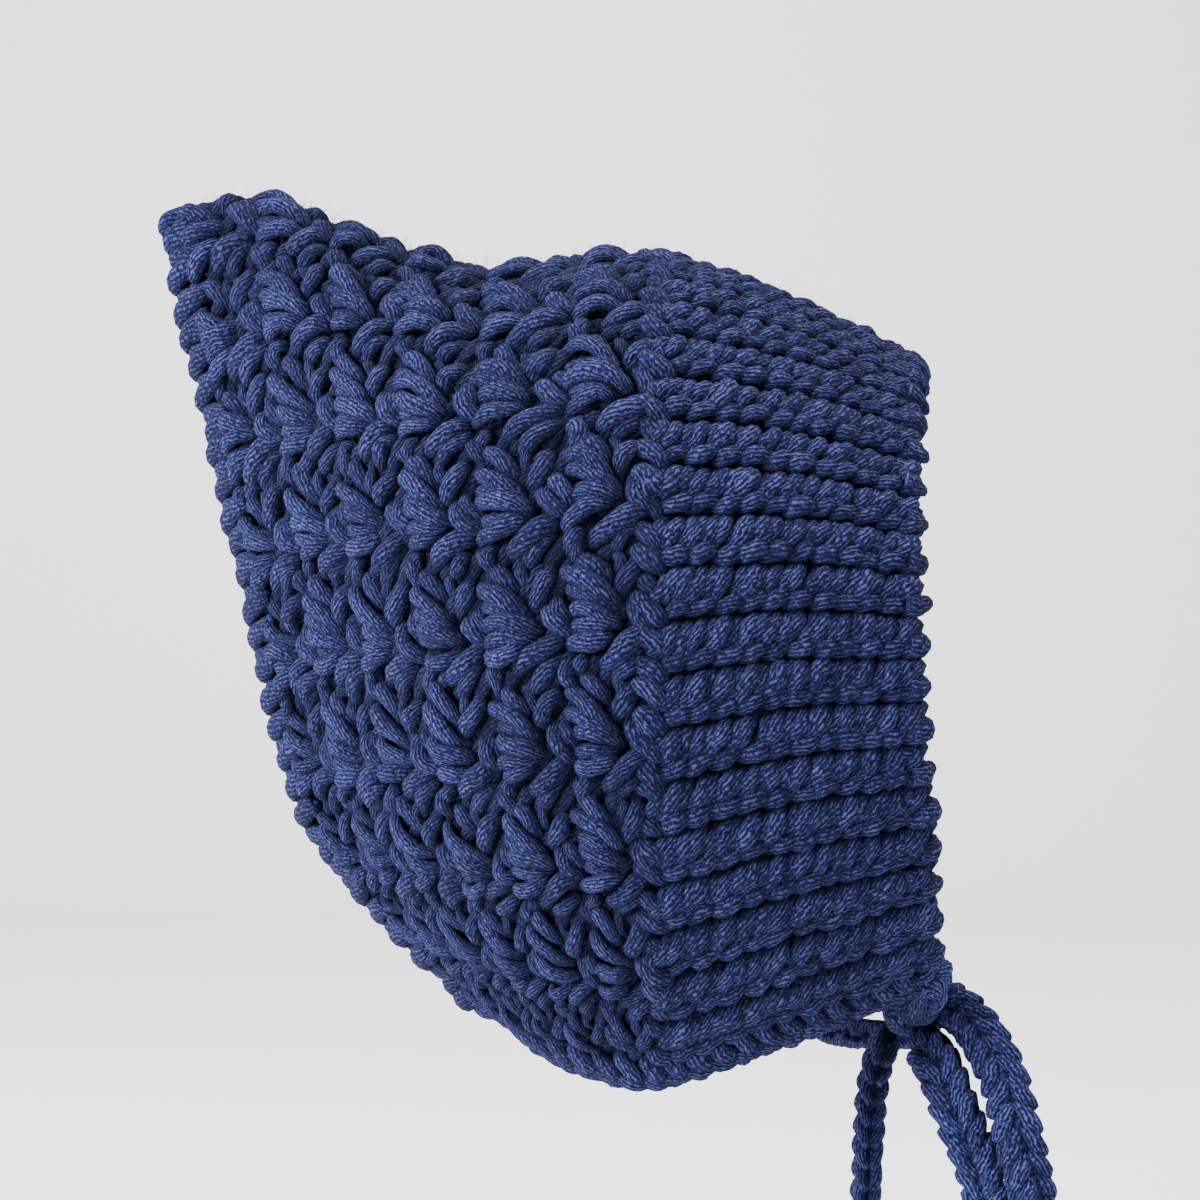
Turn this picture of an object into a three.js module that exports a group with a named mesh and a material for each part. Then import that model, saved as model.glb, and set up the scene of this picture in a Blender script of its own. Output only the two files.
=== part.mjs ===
// Crocheted pixie hood in the form that it has when worn, its ties in a bow under the chin.
// Millimetres, +Z up. The face opening looks along -Y and the wearer's right side is -X.
// Both sides are alike. The origin is the inside of the crown at its top.

import * as THREE from 'three';

// Hood as a whole
const hoodDepth = 167; // front of the brim to the back of the peak
const hoodHeight = 191; // top of the peak to the lowest part of the neck edge
const hoodWidth = 124; // over both cheeks
const neckWidth = 76; // across the neck edge under the jaw
const frontY = -59.6; // the brim's foremost stitches at the top
const neckZ = -172.2; // lowest level of the neck edge

// Fabric
const bodyWall = 5.4;
const brimWall = 5.8;
const jointGap = 0.3; // left between pieces that are worked or sewn together
const hemGap = 0.6; // left above the edging, whose curve the fabric's hem follows in chords
const brimShare = 0.345; // of the way from the face to the back, taken by the ribbed brim

// Brim ribs
const ribCount = 39; // odd, so one rib lies along the top
const ribDepth = 2.2; // from a rib's crest to the groove beside it
const ribTip = 1.8; // a rib's end stands this far in front of the groove's end

// Puffs of the body
const puffRows = 6; // repeats from the brim to the back seam
const puffColumns = 17; // repeats from one neck edge over the top to the other
const puffRise = 2.2; // from the hollows between the puffs to their crests

// Neck edging and back seam
const edgingHeight = 8;
const edgingWall = 6.4;
const edgingBump = 0.7;
const edgingStitch = 6.5;
const edgingSetback = 5.5; // the edging turns into a tie this far behind the brim's front
const seamWidth = 8;
const seamThickness = 3;
const seamStitch = 9;
const seamBump = 0.6;
const seamTop = 0.015; // share of the back edge that the seam leaves free at the peak

// Ties
const tieWidth = 10.4;
const tieThickness = 6;
const tieSides = 8;
const tieBump = 0.5;
const tieStitch = 5.4;
const tieEndShare = 0.2; // of a tie's length, over which its end gets thinner
const chinEndTaper = 0.3; // how much thinner a chin tie's ends are
const loopEndTaper = 0.45; // how much thinner a loop's ends are, pressed by the knot
const loopTipShare = 0.8; // of a loop's reach, beyond which it turns back
const knotWidth = 13;
const knotDepth = 10.5;
const knotHeight = 10.5;
const knotCentre = new THREE.Vector3(0, -55.5, -159.7);

// Routes of the two loose tails and of the tie lengths, chosen by hand.
const tailRightRoute = [
  [-4, -58.8, -169],
  [-5, -62.2, -175.6],
  [-6, -67, -184.6],
  [-6.4, -71.4, -193.2],
  [-6.4, -74.4, -203.2],
  [-6.2, -76, -216.2],
  [-6, -76.4, -229.2]
];
const tailLeftRoute = [
  [6, -52.6, -165.6],
  [7, -50.2, -171.2],
  [7.6, -48.8, -180.2],
  [7.8, -48, -196.2],
  [7.9, -47.4, -213.2],
  [8, -47, -231.2]
];
const loopRightRoute = [
  [-4, -61, -158],
  [-12, -63.6, -156],
  [-20, -67.2, -158.6],
  [-28, -71.4, -166.6],
  [-32.5, -74.3, -178.9],
  [-32.6, -76.8, -189.2],
  [-31.4, -78.6, -197.6],
  [-29.8, -77.4, -203.8],
  [-29, -73.6, -205.8],
  [-28.6, -70, -202.6],
  [-28.4, -69, -194.2],
  [-28, -67, -186.2],
  [-26.4, -62.2, -174.6],
  [-22, -60, -167.8],
  [-14, -58.8, -165.6],
  [-6.4, -57.6, -165.2]
];
const loopLeftRoute = [
  [5.6, -60, -162.6],
  [15, -60, -161.8],
  [28, -56, -159.6],
  [41, -51.6, -160.2],
  [51, -47.8, -163.2],
  [56, -45.8, -167.8],
  [54.4, -45.4, -172.4],
  [46, -46.6, -172.4],
  [36, -49, -170.4],
  [25, -52.4, -169],
  [16, -56.4, -167.6],
  [6.8, -58.6, -165.6]
];

// Sections of the hood from the face edge to the back edge. at: place along the fabric.
// ridgeBack and neckBack: share of hoodDepth behind the front. ridgeUp and neckUp: share of
// hoodHeight above the neck edge's lowest level. half: share of half the hood's width at
// its widest. neckHalf: share of half the neck's width. bow: share of hoodDepth by which
// the side lies behind a straight line from ridge to neck. full: 1 is a round top, less is
// a boxier one.
const sections = [
  { at: 0, ridgeBack: 0, ridgeUp: 0.804, neckBack: 0.005, neckUp: 0.113, half: 0.93,
    neckHalf: 0.9, bow: 0.0425, full: 0.95 },
  { at: 0.175, ridgeBack: 0.165, ridgeUp: 0.876, neckBack: 0.171, neckUp: 0.06, half: 0.98,
    neckHalf: 1, bow: 0.03, full: 0.97 },
  { at: 0.345, ridgeBack: 0.333, ridgeUp: 0.928, neckBack: 0.339, neckUp: 0.005, half: 1,
    neckHalf: 0.9, bow: 0.026, full: 1 },
  { at: 0.435, ridgeBack: 0.422, ridgeUp: 0.932, neckBack: 0.39, neckUp: 0.002, half: 0.985,
    neckHalf: 0.82, bow: 0.04, full: 1 },
  { at: 0.57, ridgeBack: 0.56, ridgeUp: 0.917, neckBack: 0.436, neckUp: 0.008, half: 0.89,
    neckHalf: 0.68, bow: 0.075, full: 0.96 },
  { at: 0.705, ridgeBack: 0.688, ridgeUp: 0.947, neckBack: 0.47, neckUp: 0.015, half: 0.7,
    neckHalf: 0.52, bow: 0.108, full: 0.9 },
  { at: 0.85, ridgeBack: 0.816, ridgeUp: 0.989, neckBack: 0.498, neckUp: 0.025, half: 0.42,
    neckHalf: 0.34, bow: 0.139, full: 0.78 },
  { at: 0.925, ridgeBack: 0.904, ridgeUp: 1, neckBack: 0.51, neckUp: 0.033, half: 0.25,
    neckHalf: 0.25, bow: 0.147, full: 0.66 },
  { at: 1, ridgeBack: 0.98, ridgeUp: 0.972, neckBack: 0.526, neckUp: 0.043, half: 0.1,
    neckHalf: 0.16, bow: 0.15, full: 0.5 }
];

const widestLevel = 0.47; // share of a section's height at which it is widest
const bowLevel = 0.7; // share of its height at which a rear section is farthest back
const browSkew = 0.68; // below 1 the face edge is farthest back above half its height
const jawCurve = 2.2; // how the sides draw in from the widest level to the neck
const sectionSteps = 96;
const slopeStep = 0.006; // share of the fabric over which its slope is taken

const hoodColour = 0x34447a;
const brimColour = 0x364880;
const edgingColour = 0x303f72;
const tieColour = 0x2c3a6c;

// One column of the section table as a smooth curve through its rows.
function columnAt(name, at) {
  let row = 0;
  while (row < sections.length - 2 && at > sections[row + 1].at) {
    row += 1;
  }
  const slope = (index) => {
    const before = sections[Math.max(index - 1, 0)];
    const after = sections[Math.min(index + 1, sections.length - 1)];
    return (after[name] - before[name]) / (after.at - before.at);
  };
  const start = sections[row];
  const end = sections[row + 1];
  const span = end.at - start.at;
  const share = (at - start.at) / span;
  const square = share * share;
  const cube = square * share;
  return start[name] * (2 * cube - 3 * square + 1)
    + end[name] * (3 * square - 2 * cube)
    + slope(row) * span * (cube - 2 * square + share)
    + slope(row + 1) * span * (cube - square);
}

// How far back the bow reaches at a level. In front it is an even arc, and at the back it
// grows down to the nape and turns in sharply there.
function bowAt(at, level) {
  const even = Math.sin(Math.PI * level ** browSkew);
  const rear = level < bowLevel
    ? level / bowLevel
    : Math.cos((Math.PI / 2) * (level - bowLevel) / (1 - bowLevel));
  return even * (1 - at) + rear * at;
}

// A section's right-hand line from ridge to neck, as a function of the share of its length.
const sectionCache = new Map();
function sectionLine(at) {
  const key = at.toFixed(6);
  if (sectionCache.has(key)) {
    return sectionCache.get(key);
  }
  const ridge = [0, frontY + hoodDepth * columnAt('ridgeBack', at),
    neckZ + hoodHeight * columnAt('ridgeUp', at)];
  const neck = [neckWidth / 2 * columnAt('neckHalf', at),
    frontY + hoodDepth * columnAt('neckBack', at),
    neckZ + hoodHeight * columnAt('neckUp', at)];
  const half = hoodWidth / 2 * columnAt('half', at);
  const full = columnAt('full', at);
  const bow = hoodDepth * columnAt('bow', at);
  const points = [];
  const lengths = [0];
  for (let step = 0; step <= sectionSteps; step += 1) {
    const share = 2 * step / sectionSteps;
    let level;
    let out;
    if (share <= 1) {
      const angle = share * Math.PI / 2;
      level = widestLevel * (1 - Math.cos(angle));
      out = half * Math.sin(angle) ** full;
    } else {
      level = widestLevel + (1 - widestLevel) * (share - 1);
      out = neck[0] + (half - neck[0]) * (1 - (share - 1) ** jawCurve);
    }
    const back = ridge[1] + (neck[1] - ridge[1]) * level + bow * bowAt(at, level);
    const up = ridge[2] + (neck[2] - ridge[2]) * level;
    points.push(new THREE.Vector3(-out, back, up));
    if (step > 0) {
      lengths.push(lengths[step - 1] + points[step].distanceTo(points[step - 1]));
    }
  }
  const line = { points, lengths, length: lengths[sectionSteps] };
  sectionCache.set(key, line);
  return line;
}

// Point of the outer surface. across runs from -1 at the right neck edge over the ridge at
// 0 to 1 at the left one.
function surfacePoint(at, across) {
  const line = sectionLine(at);
  const wanted = Math.min(Math.abs(across), 1) * line.length;
  let step = 1;
  while (step < sectionSteps && line.lengths[step] < wanted) {
    step += 1;
  }
  const before = line.lengths[step - 1];
  const share = (wanted - before) / (line.lengths[step] - before);
  const point = line.points[step - 1].clone().lerp(line.points[step], share);
  if (across > 0) {
    point.x = -point.x;
  }
  return point;
}

function surfaceNormal(at, across) {
  const along = surfacePoint(Math.min(at + slopeStep, 1), across)
    .sub(surfacePoint(Math.max(at - slopeStep, 0), across));
  const acrossLow = Math.max(across - slopeStep, -1);
  const acrossHigh = Math.min(across + slopeStep, 1);
  const sideways = surfacePoint(at, acrossHigh).sub(surfacePoint(at, acrossLow));
  return sideways.cross(along).normalize();
}

function fabricPoint(at, across, rise) {
  return surfacePoint(at, across).addScaledVector(surfaceNormal(at, across), rise);
}

// Share of a section's length at which the fabric ends above the edging.
function hemShare(at) {
  return 1 - (edgingHeight + hemGap) / sectionLine(at).length;
}

function yarnMaterial(colour) {
  return new THREE.MeshStandardMaterial({ color: colour, roughness: 0.92, metalness: 0 });
}

// A closed mesh from vertices and faces, each face a list of corners in order.
function meshOf(name, vertices, faces, colour) {
  const positions = new Float32Array(vertices.length * 3);
  vertices.forEach((vertex, index) => vertex.toArray(positions, index * 3));
  const corners = [];
  for (const face of faces) {
    for (let corner = 2; corner < face.length; corner += 1) {
      corners.push(face[0], face[corner - 1], face[corner]);
    }
  }
  const geometry = new THREE.BufferGeometry();
  geometry.setAttribute('position', new THREE.BufferAttribute(positions, 3));
  geometry.setIndex(corners);
  geometry.computeVertexNormals();
  const mesh = new THREE.Mesh(geometry, yarnMaterial(colour));
  mesh.name = name;
  return mesh;
}

// A sheet with a wall: rows of outer points, rows of inner points and the edges between
// them. closeBack joins the right and left halves of the last row behind the hood.
function shell(name, outerRows, innerRows, closeBack, colour) {
  const rows = outerRows.length;
  const columns = outerRows[0].length;
  const vertices = [...outerRows.flat(), ...innerRows.flat()];
  const outer = (row, column) => row * columns + column;
  const inner = (row, column) => rows * columns + row * columns + column;
  const faces = [];
  for (let row = 0; row < rows - 1; row += 1) {
    for (let column = 0; column < columns - 1; column += 1) {
      faces.push([outer(row, column), outer(row, column + 1),
        outer(row + 1, column + 1), outer(row + 1, column)]);
      faces.push([inner(row, column), inner(row + 1, column),
        inner(row + 1, column + 1), inner(row, column + 1)]);
    }
    faces.push([outer(row, 0), outer(row + 1, 0), inner(row + 1, 0), inner(row, 0)]);
    const last = columns - 1;
    faces.push([outer(row, last), inner(row, last), inner(row + 1, last), outer(row + 1, last)]);
  }
  const back = rows - 1;
  for (let column = 0; column < columns - 1; column += 1) {
    faces.push([outer(0, column), inner(0, column), inner(0, column + 1), outer(0, column + 1)]);
    if (!closeBack) {
      faces.push([outer(back, column), outer(back, column + 1),
        inner(back, column + 1), inner(back, column)]);
    }
  }
  if (closeBack) {
    const top = (columns - 1) / 2;
    for (let column = 0; column < top; column += 1) {
      const mirror = columns - 1 - column;
      const innerFace = [inner(back, column), inner(back, mirror), inner(back, mirror - 1)];
      const outerFace = [outer(back, mirror - 1), outer(back, mirror), outer(back, column)];
      if (column < top - 1) {
        innerFace.push(inner(back, column + 1));
        outerFace.unshift(outer(back, column + 1));
      }
      faces.push(outerFace, innerFace);
    }
    const last = columns - 1;
    faces.push([outer(back, 0), outer(back, last), inner(back, last), inner(back, 0)]);
  }
  return meshOf(name, vertices, faces, colour);
}

// A solid through rings of points, with flat ends.
function lofted(name, rings, colour) {
  const sides = rings[0].length;
  const vertices = rings.flat();
  const faces = [];
  for (let ring = 0; ring < rings.length - 1; ring += 1) {
    for (let side = 0; side < sides; side += 1) {
      const next = (side + 1) % sides;
      faces.push([ring * sides + side, ring * sides + next,
        (ring + 1) * sides + next, (ring + 1) * sides + side]);
    }
  }
  const firstRing = [];
  const lastRing = [];
  for (let side = 0; side < sides; side += 1) {
    firstRing.unshift(side);
    lastRing.push((rings.length - 1) * sides + side);
  }
  faces.push(firstRing, lastRing);
  return meshOf(name, vertices, faces, colour);
}

// Ribbed brim: each rib is a deep groove, a narrow crest, a shallow dip and a broad crest.
const ribProfile = [
  { share: -0.5, depth: 1, tip: 0 },
  { share: -0.33, depth: 0.22, tip: 0.6 },
  { share: -0.19, depth: 0.5, tip: 0.7 },
  { share: 0.06, depth: 0, tip: 1 },
  { share: 0.34, depth: 0.18, tip: 0.8 }
];

function brimBand() {
  const brimSteps = [0, 0.06, 0.36, 0.68, 1];
  const columns = [];
  for (let rib = 0; rib < ribCount; rib += 1) {
    for (const place of ribProfile) {
      columns.push({ across: (rib + 0.5 + place.share) / ribCount, ...place });
    }
  }
  columns.push({ across: 1, ...ribProfile[0] });
  const outerRows = [];
  const innerRows = [];
  for (const step of brimSteps) {
    const outerRow = [];
    const innerRow = [];
    for (const column of columns) {
      const tipBack = ribTip / hoodDepth * (1 - column.tip) * (1 - step);
      const end = brimShare - jointGap / 2 / hoodDepth;
      const at = tipBack + (end - tipBack) * step;
      const across = (2 * column.across - 1) * hemShare(at);
      outerRow.push(fabricPoint(at, across, -ribDepth * column.depth));
      innerRow.push(fabricPoint(at, across, -brimWall));
    }
    outerRows.push(outerRow);
    innerRows.push(innerRow);
  }
  return shell('brim_band', outerRows, innerRows, false, brimColour);
}

// Body: puffs stand up in staggered rows, and its two back edges meet at the seam.
function puffHeight(rowShare, columnShare) {
  const row = Math.cos(2 * Math.PI * puffRows * rowShare);
  const stagger = Math.PI * Math.floor(puffRows * rowShare + 0.5);
  const column = Math.cos(2 * Math.PI * puffColumns * columnShare + stagger);
  const crest = (1 + row * (0.55 + 0.45 * column)) / 2;
  return puffRise * (crest - 1);
}

function hoodBody() {
  const rowCount = puffRows * 3 + 1;
  const columnCount = puffColumns * 4 + 1;
  const start = brimShare + jointGap / 2 / hoodDepth;
  const backWall = bodyWall / hoodDepth;
  const outerRows = [];
  const innerRows = [];
  for (let row = 0; row < rowCount; row += 1) {
    const rowShare = row / (rowCount - 1);
    const outerRow = [];
    const innerRow = [];
    for (let column = 0; column < columnCount; column += 1) {
      const columnShare = column / (columnCount - 1);
      const outerAt = start + (1 - start) * rowShare;
      const innerAt = start + (1 - backWall - start) * rowShare;
      const outerAcross = (2 * columnShare - 1) * hemShare(outerAt);
      const innerAcross = (2 * columnShare - 1) * hemShare(innerAt);
      const rise = puffHeight(rowShare, columnShare) * (1 - rowShare ** 6);
      outerRow.push(fabricPoint(outerAt, outerAcross, rise));
      innerRow.push(fabricPoint(innerAt, innerAcross, -bodyWall));
    }
    outerRows.push(outerRow);
    innerRows.push(innerRow);
  }
  return shell('hood_body', outerRows, innerRows, true, hoodColour);
}

// Neck edging: a rounded band worked along the lower edge from one chin corner to the other.
const edgingProfile = [
  { down: 0, rise: -0.9 },
  { down: 0.75, rise: -1 },
  { down: 1, rise: -0.65 },
  { down: 0.95, rise: -0.2 },
  { down: 0.65, rise: 0 },
  { down: 0, rise: -0.15 }
];

function neckEdging() {
  const rightSteps = [];
  const edgeLength = surfacePoint(0, -1).distanceTo(surfacePoint(brimShare, -1))
    + surfacePoint(brimShare, -1).distanceTo(surfacePoint(1, -1));
  const stepCount = 2 * Math.round(edgeLength / edgingStitch);
  const first = edgingSetback / hoodDepth;
  for (let step = 0; step <= stepCount; step += 1) {
    rightSteps.push(first + (1 - first) * step / stepCount);
  }
  const rings = [];
  const places = [...rightSteps.map((at) => ({ at, side: -1 })),
    ...rightSteps.toReversed().map((at) => ({ at, side: 1 }))];
  places.forEach((place, index) => {
    const bump = index % 2 === 0 ? 0 : edgingBump;
    const backWall = edgingWall / hoodDepth;
    const ring = edgingProfile.map((corner) => {
      const at = place.at * (1 + corner.rise * backWall);
      const length = sectionLine(at).length;
      const across = 1 - edgingHeight * (1 - corner.down) / length;
      const rise = corner.rise * edgingWall - (corner.rise > -0.5 ? bump : 0);
      return fabricPoint(at, place.side * across, rise);
    });
    rings.push(ring);
  });
  return lofted('neck_edging', rings, edgingColour);
}

// Back seam: a low ridge of stitches over the line where the two back edges are sewn.
function backSeam() {
  const rings = [];
  const length = sectionLine(1).length;
  const ringCount = 2 * Math.round(length * (1 - seamTop) / seamStitch) + 1;
  const last = 1 - (edgingHeight + 2 * hemGap) / length;
  for (let ring = 0; ring < ringCount; ring += 1) {
    const across = seamTop + (last - seamTop) * ring / (ringCount - 1);
    const here = surfacePoint(1, -across);
    const run = surfacePoint(1, -Math.min(across + slopeStep, 1))
      .sub(surfacePoint(1, -Math.max(across - slopeStep, 0))).setX(0).normalize();
    const out = new THREE.Vector3(0, -run.z, run.y);
    const centre = new THREE.Vector3(0, here.y, here.z).addScaledVector(out, jointGap);
    const bump = ring % 2 === 0 ? 0 : seamBump;
    const high = seamThickness - bump;
    const wide = seamWidth / 2 - bump;
    const profile = [[-wide, 0], [-wide, high * 0.55], [-wide * 0.5, high], [wide * 0.5, high],
      [wide, high * 0.55], [wide, 0]];
    rings.push(profile.map(([side, rise]) => centre.clone()
      .add(new THREE.Vector3(side, 0, 0)).addScaledVector(out, rise)));
  }
  return lofted('back_seam', rings, edgingColour);
}

// Ties are flat crocheted cords. Their section is an oval, bumpy where stitches stand out.
// flatAt gives the way that the flat side faces at a share of the length.
function tieLength(name, route, flatAt, endTaper) {
  const curve = new THREE.CatmullRomCurve3(route.map((point) => new THREE.Vector3(...point)),
    false, 'centripetal');
  const ringCount = 2 * Math.round(curve.getLength() / (2 * tieStitch)) + 1;
  const rings = [];
  for (let ring = 0; ring < ringCount; ring += 1) {
    const share = ring / (ringCount - 1);
    const centre = curve.getPointAt(share);
    const run = curve.getTangentAt(share);
    const facing = flatAt(share, centre);
    const flat = facing.addScaledVector(run, -facing.dot(run)).normalize();
    const wide = run.clone().cross(flat);
    const bump = ring % 2 === 0 ? tieBump : 0;
    const endShare = Math.min(share, 1 - share) / tieEndShare;
    const taper = 1 - endTaper * Math.max(0, 1 - endShare);
    const points = [];
    for (let side = 0; side < tieSides; side += 1) {
      const angle = 2 * Math.PI * side / tieSides;
      points.push(centre.clone()
        .addScaledVector(flat, Math.cos(angle) * (tieThickness / 2) * taper)
        .addScaledVector(wide, Math.sin(angle) * (tieWidth / 2 - bump) * taper));
    }
    rings.push(points);
  }
  return lofted(name, rings, tieColour);
}

// A loose tail: the plain tie section along its route.
function looseTail(name, route) {
  const section = new THREE.Shape();
  for (let side = 0; side < tieSides; side += 1) {
    const angle = 2 * Math.PI * side / tieSides;
    const x = Math.cos(angle) * tieWidth / 2;
    const y = Math.sin(angle) * tieThickness / 2;
    if (side === 0) {
      section.moveTo(x, y);
    } else {
      section.lineTo(x, y);
    }
  }
  section.closePath();
  const path = new THREE.CatmullRomCurve3(route.map((point) => new THREE.Vector3(...point)),
    false, 'centripetal');
  const steps = Math.round(path.getLength() / tieWidth);
  const geometry = new THREE.ExtrudeGeometry(section, { steps, bevelEnabled: false,
    extrudePath: path });
  const mesh = new THREE.Mesh(geometry, yarnMaterial(tieColour));
  mesh.name = name;
  return mesh;
}

// From the end of the neck edging at a chin corner to the knot, drawn in under the chin.
function chinTie(name, side) {
  const at = edgingSetback / hoodDepth;
  const across = side * (1 - edgingHeight / 2 / sectionLine(at).length);
  const edgingEnd = fabricPoint(at, across, -edgingWall / 2);
  const forward = edgingEnd.clone().sub(fabricPoint(2 * at, across, -edgingWall / 2))
    .normalize();
  const start = edgingEnd.clone().addScaledVector(forward, 2.5 * jointGap);
  const lead = start.clone().addScaledVector(forward, tieThickness * 0.2);
  const turn = start.clone().addScaledVector(forward, tieThickness * 0.7)
    .add(new THREE.Vector3(-side * 0.2, 0, -0.07).multiplyScalar(tieThickness));
  const end = knotCentre.clone()
    .add(new THREE.Vector3(side * (knotWidth / 2 - jointGap), 0, knotHeight / 4));
  const middle = turn.clone().lerp(end, 0.45)
    .add(new THREE.Vector3(0, -0.3, -0.17).multiplyScalar(tieThickness));
  const route = [start, lead, turn, middle, end].map((point) => point.toArray());
  return tieLength(name, route, () => new THREE.Vector3(-side * 0.6, 0.8, 0), chinEndTaper);
}

// A bow's loop: the tie leaves the knot, turns back at the loop's tip and returns. At the tip
// its flat side faces away from the loop's axis, and beside the knot it faces the given way.
function bowLoop(name, route, knotSide) {
  const tip = new THREE.Vector3(...route[Math.floor(route.length / 2)]);
  const axis = tip.clone().sub(knotCentre);
  const reach = axis.length();
  axis.normalize();
  const flatAt = (share, centre) => {
    const arm = centre.clone().sub(knotCentre);
    const along = arm.dot(axis);
    const outward = arm.addScaledVector(axis, -along).normalize();
    const pastTip = Math.max(0, along / reach - loopTipShare) / (1 - loopTipShare);
    outward.addScaledVector(axis, 0.8 * pastTip);
    outward.normalize();
    const turn = Math.min(1, Math.min(share, 1 - share) / (2 * tieEndShare)) ** 1.5;
    const sameWay = outward.dot(knotSide) < 0 ? -1 : 1;
    return outward.multiplyScalar(turn).addScaledVector(knotSide, sameWay * (1 - turn));
  };
  return tieLength(name, route, flatAt, loopEndTaper);
}

function bowKnot() {
  const shape = new THREE.SphereGeometry(0.5, 12, 8);
  shape.scale(knotWidth, knotDepth, knotHeight);
  const mesh = new THREE.Mesh(shape, yarnMaterial(tieColour));
  mesh.name = 'bow_knot';
  mesh.position.copy(knotCentre);
  return mesh;
}

const pixieHood = new THREE.Group();
pixieHood.add(hoodBody());
pixieHood.add(brimBand());
pixieHood.add(neckEdging());
pixieHood.add(backSeam());
pixieHood.add(chinTie('chin_tie_right', -1));
pixieHood.add(chinTie('chin_tie_left', 1));
pixieHood.add(bowKnot());
pixieHood.add(bowLoop('bow_loop_right', loopRightRoute, new THREE.Vector3(-1, 0.2, 0)));
pixieHood.add(bowLoop('bow_loop_left', loopLeftRoute, new THREE.Vector3(0, 0, 1)));
pixieHood.add(looseTail('bow_tail_right', tailRightRoute));
pixieHood.add(looseTail('bow_tail_left', tailLeftRoute));

export default pixieHood;
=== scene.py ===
# Crocheted pixie hood in navy worsted yarn, laid yarn by yarn over its CAD solids.
import math

import bpy
import numpy as np
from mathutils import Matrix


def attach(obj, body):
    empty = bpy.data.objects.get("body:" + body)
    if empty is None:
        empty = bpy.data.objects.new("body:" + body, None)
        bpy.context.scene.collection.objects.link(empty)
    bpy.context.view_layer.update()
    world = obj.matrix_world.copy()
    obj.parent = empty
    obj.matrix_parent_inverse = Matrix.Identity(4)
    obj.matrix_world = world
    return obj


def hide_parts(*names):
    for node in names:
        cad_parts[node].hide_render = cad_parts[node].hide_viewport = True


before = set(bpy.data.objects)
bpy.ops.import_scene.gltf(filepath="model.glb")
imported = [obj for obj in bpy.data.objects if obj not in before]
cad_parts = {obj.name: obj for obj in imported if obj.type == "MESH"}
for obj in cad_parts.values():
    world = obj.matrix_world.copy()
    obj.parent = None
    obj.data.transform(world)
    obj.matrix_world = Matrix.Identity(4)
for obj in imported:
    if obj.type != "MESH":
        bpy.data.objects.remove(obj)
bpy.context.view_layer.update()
chance = np.random.default_rng(7)
print("frame loaded:", len(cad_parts), "nodes")


# Camera: square on to the hood's right side, as in the photograph
view = {
    "distance": 0.520,  # m from the hood's middle plane
    "back": 0.0109, "up": -0.0699,  # m
    "lens": 71.8, "sensor": 36,  # mm
}
cameraData = bpy.data.cameras.new("camera")
cameraData.lens = view["lens"]
cameraData.sensor_width = view["sensor"]
cameraData.clip_start = 0.01
camera = bpy.data.objects.new("camera", cameraData)
camera.location = (-view["distance"], view["back"], view["up"])
camera.rotation_euler = (math.pi / 2, 0, -math.pi / 2)
bpy.context.scene.collection.objects.link(camera)
bpy.context.scene.camera = camera


# Hood surface, in millimetres, with the CAD model's own sizes
hood = {
    "depth": 167, "height": 191, "width": 124, "neckWidth": 76,
    "frontY": -59.6, "neckZ": -172.2,
    "brimShare": 0.345,  # of the way from the face to the back
    "edgingHeight": 8, "hemGap": 0.6,
    "widestLevel": 0.47, "bowLevel": 0.7, "browSkew": 0.68, "jawCurve": 2.2,
}
sectionNames = ("at", "ridgeBack", "ridgeUp", "neckBack", "neckUp", "half", "neckHalf", "bow", "full")
sections = np.array([
    (0, 0, 0.804, 0.005, 0.113, 0.93, 0.9, 0.0425, 0.95),
    (0.175, 0.165, 0.876, 0.171, 0.06, 0.98, 1, 0.03, 0.97),
    (0.345, 0.333, 0.928, 0.339, 0.005, 1, 0.9, 0.026, 1),
    (0.435, 0.422, 0.932, 0.39, 0.002, 0.985, 0.82, 0.04, 1),
    (0.57, 0.56, 0.917, 0.436, 0.008, 0.89, 0.68, 0.075, 0.96),
    (0.705, 0.688, 0.947, 0.47, 0.015, 0.7, 0.52, 0.108, 0.9),
    (0.85, 0.816, 0.989, 0.498, 0.025, 0.42, 0.34, 0.139, 0.78),
    (0.925, 0.904, 1, 0.51, 0.033, 0.25, 0.25, 0.147, 0.66),
    (1, 0.98, 0.972, 0.526, 0.043, 0.1, 0.16, 0.15, 0.5),
])


def lengthsAlong(points):
    # the way from the first point to each one, for one line or for rows of lines
    gaps = np.linalg.norm(np.diff(points, axis=-2), axis=-1)
    return np.concatenate([0 * gaps[..., :1], np.cumsum(gaps, axis=-1)], axis=-1)


def columnAt(name, at):
    # one column of the table as a cubic through its rows, with the slope of their neighbours
    rows = sections[:, 0]
    values = sections[:, sectionNames.index(name)]
    index = np.arange(len(rows))
    before = np.maximum(index - 1, 0)
    after = np.minimum(index + 1, len(rows) - 1)
    slopes = (values[after] - values[before]) / (rows[after] - rows[before])
    row = np.clip(np.searchsorted(rows, at) - 1, 0, len(rows) - 2)
    span = rows[row + 1] - rows[row]
    share = (at - rows[row]) / span
    square = share ** 2
    cube = share ** 3
    return (values[row] * (2 * cube - 3 * square + 1) + values[row + 1] * (3 * square - 2 * cube)
            + slopes[row] * span * (cube - 2 * square + share)
            + slopes[row + 1] * span * (cube - square))


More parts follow.
